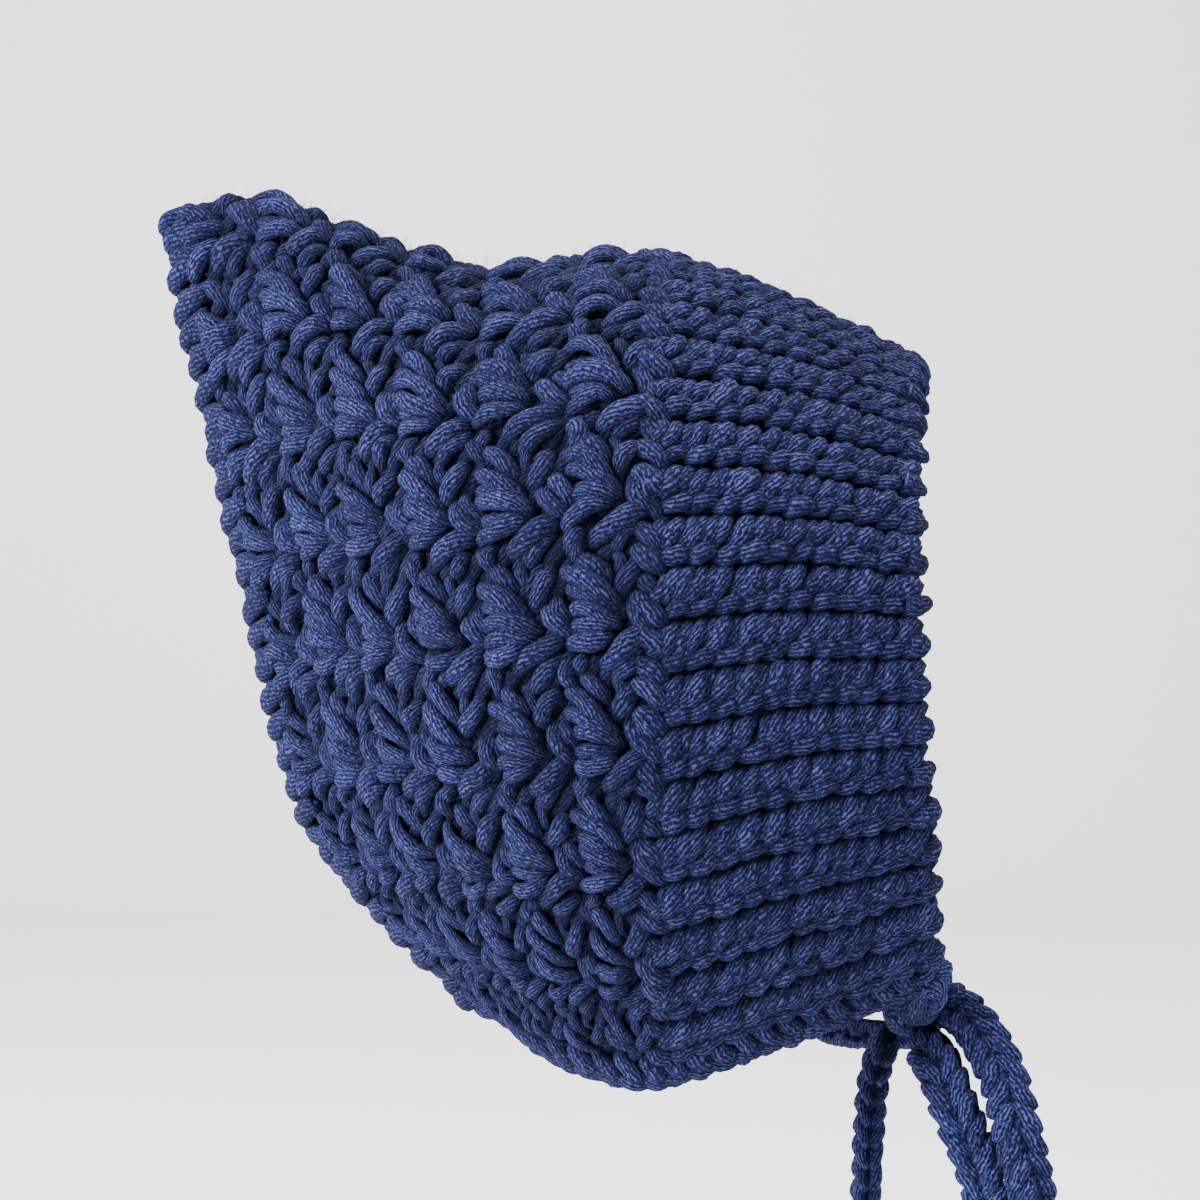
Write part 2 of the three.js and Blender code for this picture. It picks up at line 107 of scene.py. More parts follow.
def hoodGrid(rows, columns, steps):
    # half the hood: each section is an arc from the ridge to its widest level and then a curve
    # in to the neck, bowed to the back, with its points spaced evenly along its length
    at = np.linspace(0, 1, rows)[:, None]
    share = np.linspace(0, 2, steps)[None, :]
    top = share <= 1
    angle = np.minimum(share, 1) * math.pi / 2
    low = np.maximum(share - 1, 0)
    level = np.where(top, hood["widestLevel"] * (1 - np.cos(angle)),
                     hood["widestLevel"] + (1 - hood["widestLevel"]) * low)
    half = hood["width"] / 2 * columnAt("half", at)
    neckHalf = hood["neckWidth"] / 2 * columnAt("neckHalf", at)
    out = np.where(top, half * np.sin(angle) ** columnAt("full", at),
                   neckHalf + (half - neckHalf) * (1 - low ** hood["jawCurve"]))
    bowLevel = hood["bowLevel"]
    even = np.sin(math.pi * level ** hood["browSkew"])
    rear = np.where(level < bowLevel, level / bowLevel,
                    np.cos(math.pi / 2 * (level - bowLevel) / (1 - bowLevel)))
    bow = hood["depth"] * columnAt("bow", at) * (even * (1 - at) + rear * at)
    ridgeY, neckY = (hood["frontY"] + hood["depth"] * columnAt(n, at) for n in ("ridgeBack", "neckBack"))
    ridgeZ, neckZ = (hood["neckZ"] + hood["height"] * columnAt(n, at) for n in ("ridgeUp", "neckUp"))
    raw = np.stack([out, ridgeY + (neckY - ridgeY) * level + bow,
                    ridgeZ + (neckZ - ridgeZ) * level + 0 * out], axis=-1)
    lengths = lengthsAlong(raw)
    spaced = np.empty((rows, columns, 3))
    for row in range(rows):
        wanted = np.linspace(0, lengths[row, -1], columns)
        for axis in range(3):
            spaced[row, :, axis] = np.interp(wanted, lengths[row], raw[row, :, axis])
    return spaced, lengths[:, -1]


gridRows, gridColumns = 201, 161
gridPoints, sectionLengths = hoodGrid(gridRows, gridColumns, 321)
gridNormals = np.cross(np.gradient(gridPoints, axis=1), np.gradient(gridPoints, axis=0))
gridNormals[:, 0, 0] = 0  # level on the ridge
gridNormals /= np.linalg.norm(gridNormals, axis=2, keepdims=True)


def fromGrid(grid, at, across):
    # between the grid's points, straight both ways, and mirrored for the right side
    row = at * (gridRows - 1)
    column = np.abs(across) * (gridColumns - 1)
    i = np.clip(np.floor(row).astype(int), 0, gridRows - 2)
    j = np.clip(np.floor(column).astype(int), 0, gridColumns - 2)
    u = (row - i)[..., None]
    v = (column - j)[..., None]
    value = ((1 - u) * (1 - v) * grid[i, j] + u * (1 - v) * grid[i + 1, j]
             + (1 - u) * v * grid[i, j + 1] + u * v * grid[i + 1, j + 1])
    value[..., 0] *= np.where(across < 0, -1, 1)
    return value


def hoodNormal(at, across):
    normal = fromGrid(gridNormals, at, across)
    return normal / np.linalg.norm(normal, axis=-1, keepdims=True)


def hoodPoint(at, across, rise):
    # a point of the surface, moved out along its normal by rise
    return fromGrid(gridPoints, at, across) + np.asarray(rise)[..., None] * hoodNormal(at, across)


def sectionLength(at):
    return np.interp(at, np.linspace(0, 1, gridRows), sectionLengths)


def hemShare(at):
    return 1 - (hood["edgingHeight"] + hood["hemGap"]) / sectionLength(at)


def hoodAcross(height, at):
    # across for a share of the way from the right hem over the top to the left one
    return np.clip(2 * height - 1, -1, 1) * hemShare(at)


def depthScale(at, across):
    # millimetres of fabric for the whole way from the face to the back, here
    step = 0.01
    ahead = fromGrid(gridPoints, np.clip(at + step, 0, 1), across)
    behind = fromGrid(gridPoints, np.clip(at - step, 0, 1), across)
    span = np.clip(at + step, 0, 1) - np.clip(at - step, 0, 1)
    return np.linalg.norm(ahead - behind, axis=-1) / span


# Yarn: tubes along curves, gathered in batches and joined into one mesh for a piece
form = {
    "stray": 0.22, "unevenness": 0.07,  # mm of a yarn's course, and share of its thickness
    "flankShade": 0.5,  # painted shade left on a yarn's flanks, where each one lies against the next
    "flatness": 0.82,  # thickness, as a share of the width
    "dipPower": 2.2, "taperPower": 2.6,  # higher is later towards the ends
    "surfaceShade": 1.1, "darkDepth": 3.1,  # painted shade: its value at the surface, and mm down for one whole step of painted shade
    "tones": (0.14, 0.36),
}


def unit(vectors):
    return vectors / np.maximum(np.linalg.norm(vectors, axis=-1, keepdims=True), 1e-9)


def cells(rows, columns):
    # the row and the column of each cell, as two flat arrays
    return (a.reshape(-1) for a in np.meshgrid(rows, columns, indexing="ij"))


def throughThree(start, middle, end, count):
    # the parabola through three points, as count points
    share = np.linspace(0, 1, count).reshape((1, count) + (1,) * (np.ndim(start) - 1))
    return (start[:, None] * 2 * (share - 0.5) * (share - 1) + middle[:, None] * 4 * share * (1 - share)
            + end[:, None] * 2 * share * (share - 0.5))


def yarnBatch(points, facing, width, thick, sides, tone, paintedShade):
    # an oval ring round each point, its flat side to the facing direction, with both ends closed
    strands, steps = points.shape[:2]
    run = unit(np.gradient(points, axis=1))
    if steps > 7:
        # a little unevenness in the yarn's course and thickness
        waves = chance.uniform(0, 2 * math.pi, (strands, 1, 4)) + np.linspace(0, 7, steps)[None, :, None]
        waves = np.sin(waves) * np.sin(math.pi * np.linspace(0, 1, steps))[None, :, None]
        points = points + form["stray"] * waves[..., :3]
        width = width * (1 + form["unevenness"] * waves[..., 3])
    side = unit(np.cross(facing, run))
    out = np.cross(run, side)
    angle = 2 * math.pi * np.arange(sides) / sides
    rings = (points[:, :, None]
             + side[:, :, None] * np.cos(angle)[:, None] * width[:, :, None, None] / 2
             + out[:, :, None] * np.sin(angle)[:, None] * thick[:, :, None, None] / 2)
    index = np.arange(strands * steps * sides).reshape(strands, steps, sides)
    turned = np.roll(index, -1, axis=2)
    quads = np.stack([index[:, :-1], turned[:, :-1], turned[:, 1:], index[:, 1:]], axis=-1)
    caps = np.concatenate([index[:, 0, ::-1], index[:, -1]])
    along = lengthsAlong(points) + chance.uniform(0, 40, (strands, 1))
    round0 = np.broadcast_to(np.arange(sides) / sides, (strands, steps - 1, sides))
    round1 = round0 + 1 / sides
    low = np.broadcast_to(along[:, :-1, None], round0.shape)
    high = np.broadcast_to(along[:, 1:, None], round0.shape)
    quadUv = np.stack([round0, low, round1, low, round1, high, round0, high], axis=-1)
    capUv = np.zeros((2 * strands, sides, 2))
    capUv[:, :, 1] = np.concatenate([along[:, 0], along[:, -1]])[:, None]
    # painted shade: each yarn's flanks are painted darker than its top
    flankShade = form["flankShade"] + (1 - form["flankShade"]) * np.clip(np.sin(angle), 0, 1)
    return {
        "points": rings.reshape(-1, 3),
        "faces": [(quads.reshape(-1, 4), quadUv.reshape(-1, 2)),
                  (caps.reshape(-1, sides), capUv.reshape(-1, 2))],
        "tone": np.repeat(tone, steps * sides), "paintedShade": (paintedShade[..., None] * flankShade).reshape(-1),
    }


def ringBatch(points, tone, paintedShade):
    # a grid of points as a flat tube, closed along its second way
    rows, columns = points.shape[:2]
    index = np.arange(rows * columns).reshape(rows, columns)
    after = np.roll(index, -1, axis=1)
    quads = np.stack([index[:-1], after[:-1], after[1:], index[1:]], axis=-1)
    place = np.stack(tuple(cells(np.arange(rows), np.arange(columns))), axis=-1)
    return {
        "points": points.reshape(-1, 3),
        "faces": [(quads.reshape(-1, 4), 0.5 * place[quads.reshape(-1)])],
        "tone": np.full(rows * columns, tone), "paintedShade": np.full(rows * columns, paintedShade),
    }


def joinedPiece(name, batches, material, slot, *nodes):
    # the batches as one mesh object in metres, with its yarn map and its tone and painted shade values
    corners, totals, uvs, offset = [], [], [], 0
    for batch in batches:
        for faces, uv in batch["faces"]:
            corners.append((faces + offset).reshape(-1))
            totals.append(np.full(len(faces), faces.shape[1]))
            uvs.append(uv)
        offset += len(batch["points"])
    corners, totals, uvs = np.concatenate(corners), np.concatenate(totals), np.concatenate(uvs)
    mesh = bpy.data.meshes.new(name)
    mesh.vertices.add(offset)
    mesh.vertices.foreach_set("co", (np.concatenate([b["points"] for b in batches]) / 1000).reshape(-1))
    mesh.loops.add(len(corners))
    mesh.loops.foreach_set("vertex_index", corners.astype(np.int32))
    mesh.polygons.add(len(totals))
    mesh.polygons.foreach_set("loop_start", np.concatenate([[0], np.cumsum(totals)[:-1]]).astype(np.int32))
    mesh.polygons.foreach_set("use_smooth", np.ones(len(totals), bool))
    mesh.update(calc_edges=True)
    yarnMap = mesh.uv_layers.new(name="yarn")
    yarnMap.data.foreach_set("uv", (uvs * (1, 0.01)).astype(np.float32).reshape(-1))
    # shade is painted shade: 1 leaves the yarn's colour, 0 paints it all in the shadow colour
    for label in ("tone", "paintedShade"):
        values = mesh.attributes.new(label, "FLOAT", "POINT")
        values.data.foreach_set("value", np.concatenate([b[label] for b in batches]).astype(np.float32))
    mesh.materials.append(material)
    piece = bpy.data.objects.new(name, mesh)
    bpy.context.scene.collection.objects.link(piece)
    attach(piece, "root")
    if nodes:
        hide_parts(*nodes)
    print(name, "has", int((totals - 2).sum()), "triangles")
    return piece


# Materials
def linear(hexColour):
    # sRGB hex to linear red, green, blue
    channels = [int(hexColour[i:i + 2], 16) / 255 for i in (1, 3, 5)]
    return [c / 12.92 if c <= 0.04045 else ((c + 0.055) / 1.055) ** 2.4 for c in channels] + [1]


def addNode(tree, kind, settings=None, links=None):
    # a node with its settings, by name for the node's own and by socket for its inputs
    node = tree.nodes.new(kind)
    for key, value in (settings or {}).items():
        if isinstance(key, str) and hasattr(node, key):
            setattr(node, key, value)
        else:
            node.inputs[key].default_value = value
    for key, source in (links or {}).items():
        tree.links.new(source, node.inputs[key])
    return node


yarn = {
    "twist": -42,  # mm of yarn for one turn of the threads, to the right
    "bend": 1.3, "bendSize": 1.8,  # how far the threads stray, in threads, and over how many mm
    "fibre": 0.35,  # mm, drawn coarser than real fibres so that it shows
    "streak": 1.2,  # mm, length of the glint streaks along a thread, in the bump and as painted glints
    "patch": 22, "patchTone": 0.25,  # mm, and how much the tone wanders
    "threadRelief": 0.75, "fibreRelief": 1.1, "streakRelief": 1.25,
    "evenRelief": 1.44,  # the relief that leaves the tone as it is; above it the yarn is painted lighter, below it darker
    "bump": 0.8,  # mm
    "stops": (0.14, 0.56, 1.0),  # of the shadow, middle and lit colours of the painted shade and highlight
    "roughness": 0.86,
    "ior": 1.5, "gloss": 0.09,  # acrylic
    "sheen": 0.1, "sheenRoughness": 0.45, "sheenColour": "#8c9ce8",
}


def acrylicYarn(name, threads, litHex, midHex, shadowHex):
    # Plied acrylic yarn, matte with a soft bloom of loose fibres: fine threads wind round each
    # strand and the tone wanders a little. The threads' relief is painted into the colour too: painted shade
    # in the hollows between them, painted highlights and glints on their crests
    material = bpy.data.materials.new(name)
    material.use_nodes = True
    tree = material.node_tree
    tree.nodes.clear()

    def worked(operation, *inputs):
        # a math node on numbers and on other nodes' outputs
        numbers = {i: value for i, value in enumerate(inputs) if isinstance(value, (int, float))}
        sources = {i: value for i, value in enumerate(inputs) if i not in numbers}
        return addNode(tree, "ShaderNodeMath", {"operation": operation, **numbers}, sources).outputs[0]

    def noise(vector, scale, detail, roughness=0.5):
        settings = {"Scale": scale, "Detail": detail, "Roughness": roughness}
        return addNode(tree, "ShaderNodeTexNoise", settings, {"Vector": vector}).outputs["Fac"]

    def ranged(value, low, high, top=1.0):
        settings = {"From Min": low, "From Max": high, "To Max": top}
        return addNode(tree, "ShaderNodeMapRange", settings, {"Value": value}).outputs["Result"]

    place = addNode(tree, "ShaderNodeTexCoord").outputs["Object"]
    uv = addNode(tree, "ShaderNodeUVMap", {"uv_map": "yarn"}).outputs[0]
    split = addNode(tree, "ShaderNodeSeparateXYZ", links={0: uv})
    around, along = split.outputs[0], split.outputs[1]
    turns = worked("MULTIPLY_ADD", along, 100 * threads / yarn["twist"], worked("MULTIPLY", around, threads))
    bent = worked("MULTIPLY_ADD", noise(place, 1000 / yarn["bendSize"], 2.0), yarn["bend"], turns)
    wave = worked("COSINE", worked("MULTIPLY", bent, 2 * math.pi))
    thread = ranged(wave, -1.0, 1.0, yarn["threadRelief"])
    fibre = noise(place, 1000 / yarn["fibre"], 3.0, 0.65)
    streakAt = worked("MULTIPLY", along, 100 / yarn["streak"])
    lengthwise = addNode(tree, "ShaderNodeCombineXYZ", links={0: bent, 1: streakAt}).outputs[0]
    glintStreaks = ranged(noise(lengthwise, 1.5, 3.0, 0.62), 0.33, 0.68)
    fuzzy = worked("MULTIPLY_ADD", fibre, yarn["fibreRelief"], thread)
    relief = worked("MULTIPLY_ADD", glintStreaks, yarn["streakRelief"], fuzzy)
    bump = addNode(tree, "ShaderNodeBump", {"Strength": 1.0, "Distance": yarn["bump"] / 1000},
                   {"Height": relief})
    tone, paintedShade = (addNode(tree, "ShaderNodeAttribute", {"attribute_name": label}).outputs["Fac"]
                   for label in ("tone", "paintedShade"))
    wandering = worked("MULTIPLY_ADD", noise(place, 1000 / yarn["patch"], 3.0), yarn["patchTone"], tone)
    # painted shade and highlight: the relief darkens the hollows and lightens the crests and glint streaks
    blend = worked("ADD", wandering, worked("SUBTRACT", relief, yarn["evenRelief"]))
    ramp = addNode(tree, "ShaderNodeValToRGB", links={"Fac": blend})
    stops = ramp.color_ramp.elements
    stops[0].position, stops[1].position = yarn["stops"][0], yarn["stops"][2]
    stops.new(yarn["stops"][1])
    for stop, colour in zip(stops, (shadowHex, midHex, litHex)):
        stop.color = linear(colour)
    # painted shade: mixes the colour towards the shadow colour where the painted shade value is low
    paintedShadeMix = addNode(tree, "ShaderNodeMix",
                     {"data_type": "RGBA", "blend_type": "MIX", 6: linear(shadowHex)},
                     {0: paintedShade, 7: ramp.outputs["Color"]})
    shader = addNode(tree, "ShaderNodeBsdfPrincipled",
                     {"Roughness": yarn["roughness"], "IOR": yarn["ior"],
                      "Specular IOR Level": yarn["gloss"], "Sheen Weight": yarn["sheen"],
                      "Sheen Roughness": yarn["sheenRoughness"],
                      "Sheen Tint": linear(yarn["sheenColour"])},
                     {"Base Color": paintedShadeMix.outputs[2], "Normal": bump.outputs["Normal"]})
    output = addNode(tree, "ShaderNodeOutputMaterial")
    tree.links.new(shader.outputs[0], output.inputs["Surface"])
    return material


bodyYarn = acrylicYarn("puffStitchAcrylicYarn", 14, "#4a5087", "#0a114b", "#000119")
brimYarn = acrylicYarn("ribbedAcrylicYarn", 13, "#4c528b", "#09114b", "#000119")
edgingYarn = acrylicYarn("edgingAcrylicYarn", 13, "#454b80", "#090f45", "#000119")
# painted light: the ties are the same navy yarn, painted lighter to make up for the shade they hang in under
# the chin
lightenedTieYarn = acrylicYarn("lightenedTieAcrylicYarn", 12, "#5a64ae", "#232a68", "#03061e")


def strands(start, middle, end, width, taper, crest, dip, count, sides, inside=False):
    # yarns over the hood: each end and middle is (at, across) for every strand. A yarn is
    # highest in its middle, goes down by dip at its ends and gets thinner by taper there. The deeper it
    # lies, the darker it is painted, as painted shade
    at = throughThree(start[0], middle[0], end[0], count)
    across = throughThree(start[1], middle[1], end[1], count)
    share = np.linspace(0, 1, count)[None, :]
    bend = np.abs(2 * share - 1)
    rise = crest[:, None] - np.where(share < 0.5, dip[0], dip[1]) * bend ** form["dipPower"]
    thin = 1 - np.where(share < 0.5, taper[0], taper[1]) * bend ** form["taperPower"]
    facing = hoodNormal(at, across)
    # painted shade: the deeper a yarn lies under the surface, the darker it is painted
    level = np.clip(form["surfaceShade"] + rise / form["darkDepth"], 0, 1)
    if inside:
        facing = -facing
        # painted shade: yarns inside the hood get an even, slightly darker painted shade
        level = 0.7 + 0 * rise
    tone = chance.uniform(*form["tones"], len(start[0]))
    broad = width[:, None] * thin
    return yarnBatch(hoodPoint(at, across, rise), facing, broad, form["flatness"] * broad, sides,
                     tone, 0.1 + 0.9 * level)


# Brim: ribs that run front to back, each a broad ridge of leaning yarns over a narrow one
brim = {
    "ribs": 39, "rightRibs": 20,
    "stitch": 5.1,  # mm of rib for one stitch
    "stitches": 11,
    "broadWidth": 3.7, "narrowWidth": 3.9,
    # mm that a yarn reaches behind and ahead of its middle
    "broadReach": 2.0, "narrowReach": 3.3, "innerReach": 2.4,
    "tips": ((-0.2, 5.0, 0.6, 0.1), (0.22, 4.4, 3.4, -0.7)),  # share, thickness, set back, rise
    "tipReach": 3.4, "tipHalf": 2.5, "tipDepth": 2.9,  # mm
    "innerWidth": 4.4,
    "looseFibres": 7500,
}


def ribPlace(rib, share, at):
    # across for a share of a rib, from -0.5 at its lower groove to 0.5 at its upper one
    return (2 * (rib + 0.5 + share) / brim["ribs"] - 1) * hemShare(np.clip(at, 0, 1))


def ribEnds(rib, front, reach, shares):
    # (at, across) for the start, middle and end of yarns that run forward by reach each way
    places = [(front + shift) / hood["depth"] for shift in (reach, 0, -reach)]
    return [(at, ribPlace(rib, share, at)) for at, share in zip(places, shares)]


def brimStrands(ribs):
    rib, stitch = cells(ribs, np.arange(2 * brim["stitches"]))
    wander = chance.normal(0, 1, (6, len(rib)))
    second = stitch % 2  # each stitch shows two strands of its yarn
    front = (stitch / 2 + 0.7) * brim["stitch"] + 0.4 * wander[0] - 0.25 * second
    shares = (-0.17 + 0.04 * wander[1], 0.12 + 0.03 * wander[2], 0.42 + 0.012 * wander[3])
    width = brim["broadWidth"] * (1 + 0.1 * wander[4])
    crest = -0.75 - 0.4 * second + 0.2 * wander[5]
    ends = ribEnds(rib, front, brim["broadReach"], shares)
    batches = [strands(*ends, width, (0.15, 0.3), crest, (1.3, 2.9), 10, 8)]
    rib, stitch = cells(ribs, np.arange(brim["stitches"]))
    wander = chance.normal(0, 1, (6, len(rib)))
    front = (stitch + 0.5) * brim["stitch"] + 0.4 * wander[0]
    shares = (-0.41 + 0.01 * wander[4], -0.3 + 0.015 * wander[1], -0.13)
    width = brim["narrowWidth"] * (1 + 0.07 * wander[2])
    crest = -1.15 + 0.2 * wander[3]
    ends = ribEnds(rib, front, brim["narrowReach"], shares)
    batches.append(strands(*ends, width, (0.45, 0.3), crest, (2.2, 1.9), 9, 8))
    # rounded ends that turn in over the face edge
    many = len(ribs)
    turn = np.linspace(-0.5 * math.pi, 0.62 * math.pi, 9)[None, :]
    for share, thickness, setBack, rise in brim["tips"]:
        centre = brim["tipReach"] + setBack
        at = (centre - brim["tipReach"] * np.cos(turn) + chance.normal(0, 0.3, (many, 1))) / hood["depth"]
        height = rise - brim["tipDepth"] - brim["tipHalf"] * np.sin(turn) + 0 * at
        across = ribPlace(np.asarray(ribs)[:, None], share + chance.normal(0, 0.02, (many, 1)), at)
        facing = unit(hoodPoint(at, across, height)
                      - hoodPoint(0 * at + centre / hood["depth"], across, 0 * at + rise - brim["tipDepth"]))
        broad = thickness * (1 - 0.25 * np.abs(np.linspace(-1, 1, 9)) ** 2)[None, :] + 0 * at
        # painted shade: these yarns are painted a little darker all along
        batches.append(yarnBatch(hoodPoint(at, across, height), facing, broad, 0.75 * broad, 8,
                                 chance.uniform(0.05, 0.25, many), np.full((many, 9), 0.9)))
    return batches


def brimLining(ribs):
    # the inside of the ribs: one broad leaning yarn for each stitch
    rib, stitch = cells(ribs, np.arange(brim["stitches"]))
    front = (stitch + 0.6) * brim["stitch"] + chance.normal(0, 0.3, len(rib))
    ends = ribEnds(rib, front, brim["innerReach"], (-0.42, 0, 0.42))
    width = brim["innerWidth"] * chance.normal(1, 0.05, len(rib))
    return strands(*ends, width, (0.3, 0.3), np.full(len(rib), -5.1), (-1.4, -1.4), 7, 6, True)


# Body: rows of puffs that lean one way, with posts between them that lean the other way
body = {
    "rows": 6, "columns": 17,
    "repeatDepth": 20.2, "repeatHeight": 24.0,  # mm of one repeat on the side of the hood
    "footBack": 0.41,  # share of a repeat from its front to the foot of its puff
    "footUp": 0.92,
    "fullness": 1.22,  # of the yarns' widths in the table
    "jitter": 0.65,  # mm, at each end and in the middle of a yarn
    "innerWidth": 5.0,
    "underRows": 18, "underColumns": 50, "underWidth": 4.6,
    "jointStitch": 5.4, "jointWidth": 4.4,  # mm
    "looseFibres": 13000,
}
# Yarns of one repeat in mm from the puff's foot: to the back and up, for start, middle and end
puffYarns = [
    # start, middle, end, width, crest, dips, tapers
    ((12.9, 10.8), (7.1, 8.1), (0.7, 2.2), 3.4, 0.9, (1.6, 3.6), (0.12, 0.38)),  # upper fan
    ((13.2, 7.2), (6.6, 5.4), (-0.2, 1.2), 3.1, 0.2, (1.2, 3.2), (0.12, 0.38)),
    ((12.0, 3.6), (5.8, 2.8), (-0.8, 0.3), 3.5, 1.3, (1.6, 3.8), (0.12, 0.38)),  # middle fan
    ((12.9, 0.3), (6.4, 0.0), (-0.1, -0.4), 3.1, 0.1, (1.2, 3.2), (0.12, 0.38)),
    ((12.1, -3.3), (6.9, -2.9), (1.0, -1.2), 3.4, 0.9, (1.6, 3.4), (0.12, 0.38)),  # lower fan
    ((10.4, 14.2), (6.3, 12.3), (2.3, 6.2), 3.5, -0.5, (1.6, 2.8), (0.15, 0.35)),
    ((11.6, 14.2), (10.4, 16.9), (8.8, 18.8), 2.9, -0.9, (1.6, 1.8), (0.3, 0.3)),
    ((6.2, 15.6), (0, 19.6), (-6.4, 22.7), 4.2, -0.1, (2.4, 2.0), (0.45, 0.3)),  # long post
    ((1.9, 12.7), (-1.5, 16.5), (-5.8, 19.2), 3.5, -0.6, (2.2, 2.0), (0.4, 0.3)),
    ((1.0, 7.7), (1.3, 11.2), (2.3, 13.9), 2.5, -1.3, (1.4, 1.4), (0.3, 0.3)),
    ((0.8, 4.2), (-1.9, 8.5), (-4.6, 12.3), 3.8, -0.4, (2.2, 1.8), (0.4, 0.3)),  # short post
    ((-3.1, 5.4), (-4.2, 1.5), (-8.9, -1.9), 3.7, -0.3, (1.8, 2.0), (0.25, 0.35)),  # curls
    ((-5.0, 7.0), (-6.4, 3.6), (-9.6, 0.6), 3.3, -0.8, (1.8, 2.0), (0.25, 0.35)),
    ((-7.3, 17.3), (-8.8, 15.4), (-10.4, 11.9), 3.2, -0.9, (1.8, 1.8), (0.3, 0.3)),
]


def bodyPlace(row, column, back, up):
    # (at, across) for a place in a repeat, kept on the fabric
    share = (row + body["footBack"] + back / body["repeatDepth"]) / body["rows"]
    at = np.clip(hood["brimShare"] + (1 - hood["brimShare"]) * share, hood["brimShare"] - 0.01, 0.992)
    height = (column + body["footUp"] + up / body["repeatHeight"]) / body["columns"]
    return at, hoodAcross(height, at)


def packedAt(at, across):
    # how much narrower than on the side of the hood a repeat is here
    packed = depthScale(at, across) * (1 - hood["brimShare"]) / body["rows"] / body["repeatDepth"]
    return np.clip(packed, 0.5, 1.1) ** 0.6


def bodyStrands(side):
    columns = np.arange(-1, body["columns"])
    row, column = cells(np.arange(body["rows"]), columns)
    batches = []
    for start, middle, end, width, crest, dips, tapers in puffYarns:
        places = (column + body["footUp"] + middle[1] / body["repeatHeight"]) / body["columns"]
        mine = (places > 0.012) & (places < 0.988) & ((places < 0.5) == (side < 0))
        many = int(mine.sum())
        ends = [bodyPlace(row[mine], column[mine], back + chance.normal(0, body["jitter"], many),
                          up + chance.normal(0, body["jitter"], many))
                for back, up in (start, middle, end)]
        broad = body["fullness"] * width * packedAt(*ends[1]) * chance.normal(1, 0.07, many)
        ridge = np.exp(-(ends[1][1] / 0.14) ** 2)  # flatter where the fabric is bent over the top
        height = crest - 0.7 - 0.9 * ridge + chance.normal(0, 0.3, many)
        deeper = (dips[0] + 1.4, dips[1] + 0.3)
        batches.append(strands(*ends, broad, tapers, height, deeper, 11, 8))
    return batches


def bodyUnder(side):
    # yarns deep between the puffs, leaning the other way
    rows, columns = body["underRows"], body["underColumns"]
    row, column = cells(np.arange(rows), np.arange(columns))
    mine = (column < columns / 2) == (side < 0)
    row, column = row[mine], column[mine]
    many = len(row)
    ends = []
    for share in (-0.5, 0, 0.5):
        at = hood["brimShare"] + (0.98 - hood["brimShare"]) * (row + 0.5 - 1.1 * share) / rows
        height = (column + 0.5 + 0.9 * share + chance.normal(0, 0.12, many)) / columns
        at = np.clip(at, hood["brimShare"] - 0.005, 0.985)
        ends.append((at, hoodAcross(height, at)))
    broad = body["underWidth"] * packedAt(*ends[1])
    crest = -3.0 + chance.normal(0, 0.3, many)
    return [strands(*ends, broad, (0.2, 0.2), crest, (0.6, 0.6), 6, 6)]


def jointStrands():
    # short yarns where the body is worked onto the brim
    count = int(2 * sectionLength(hood["brimShare"]) / body["jointStitch"])
    height = (np.arange(count) + 0.5 + chance.normal(0, 0.1, count)) / count
    ends = []
    for back, up in ((4.2, 2.4), (1.2, 0.2), (-2.2, -2.6)):
        at = hood["brimShare"] + (back + chance.normal(0, 0.3, count)) / hood["depth"]
        ends.append((at, hoodAcross(height + up / 2 / sectionLength(at), at)))
    width = body["jointWidth"] * chance.normal(1, 0.08, count)
    crest = -1.2 + chance.normal(0, 0.35, count)
    return [strands(*ends, width, (0.25, 0.3), crest, (1.4, 1.8), 10, 10)]


def bodyLining():
    # the inside of the body: plain rows of leaning yarns
    rows, columns = 2 * body["rows"], 4 * body["columns"]
    row, column = cells(np.arange(rows), np.arange(columns))
    many = len(row)
    lean = np.where(row % 2 == 0, 1, -1)
    ends = []
    for share in (-0.5, 0, 0.5):
        place = (row + 0.5 + 0.95 * share + chance.normal(0, 0.05, many)) / rows
        at = hood["brimShare"] + (0.975 - hood["brimShare"]) * place
        height = (column + 0.5 + 0.6 * share * lean) / columns
        ends.append((at, hoodAcross(height, at)))
    broad = body["innerWidth"] * packedAt(*ends[1])
    return strands(*ends, broad, (0.35, 0.35), np.full(many, -4.9), (-1.5, -1.5), 7, 6, True)


def groundLayer():
    # a thin layer between the outer yarns and the inner ones, painted almost black as painted shade in the
    # gaps between them
    at = np.linspace(0.024, 0.995, 60)[:, None]
    across = np.linspace(-1, 1, 121)[None, :] * hemShare(at)
    at = at + 0 * across
    outer = hoodPoint(at, across, -3.0)
    inner = hoodPoint(np.minimum(at, 0.985), across, -4.2)
    ring = np.concatenate([outer, inner[:, ::-1]], axis=1)
    return ringBatch(ring[::-1], 0.1, 0.12)


fibres = {
    "shortest": 1.4, "longest": 3.4, "halfWidth": 0.035,  # mm
    "root": -1.2,  # mm, under the surface
    "drift": 0.55, "curl": 0.5,  # shares of the length
    "steps": 5, "tone": 0.25,
}


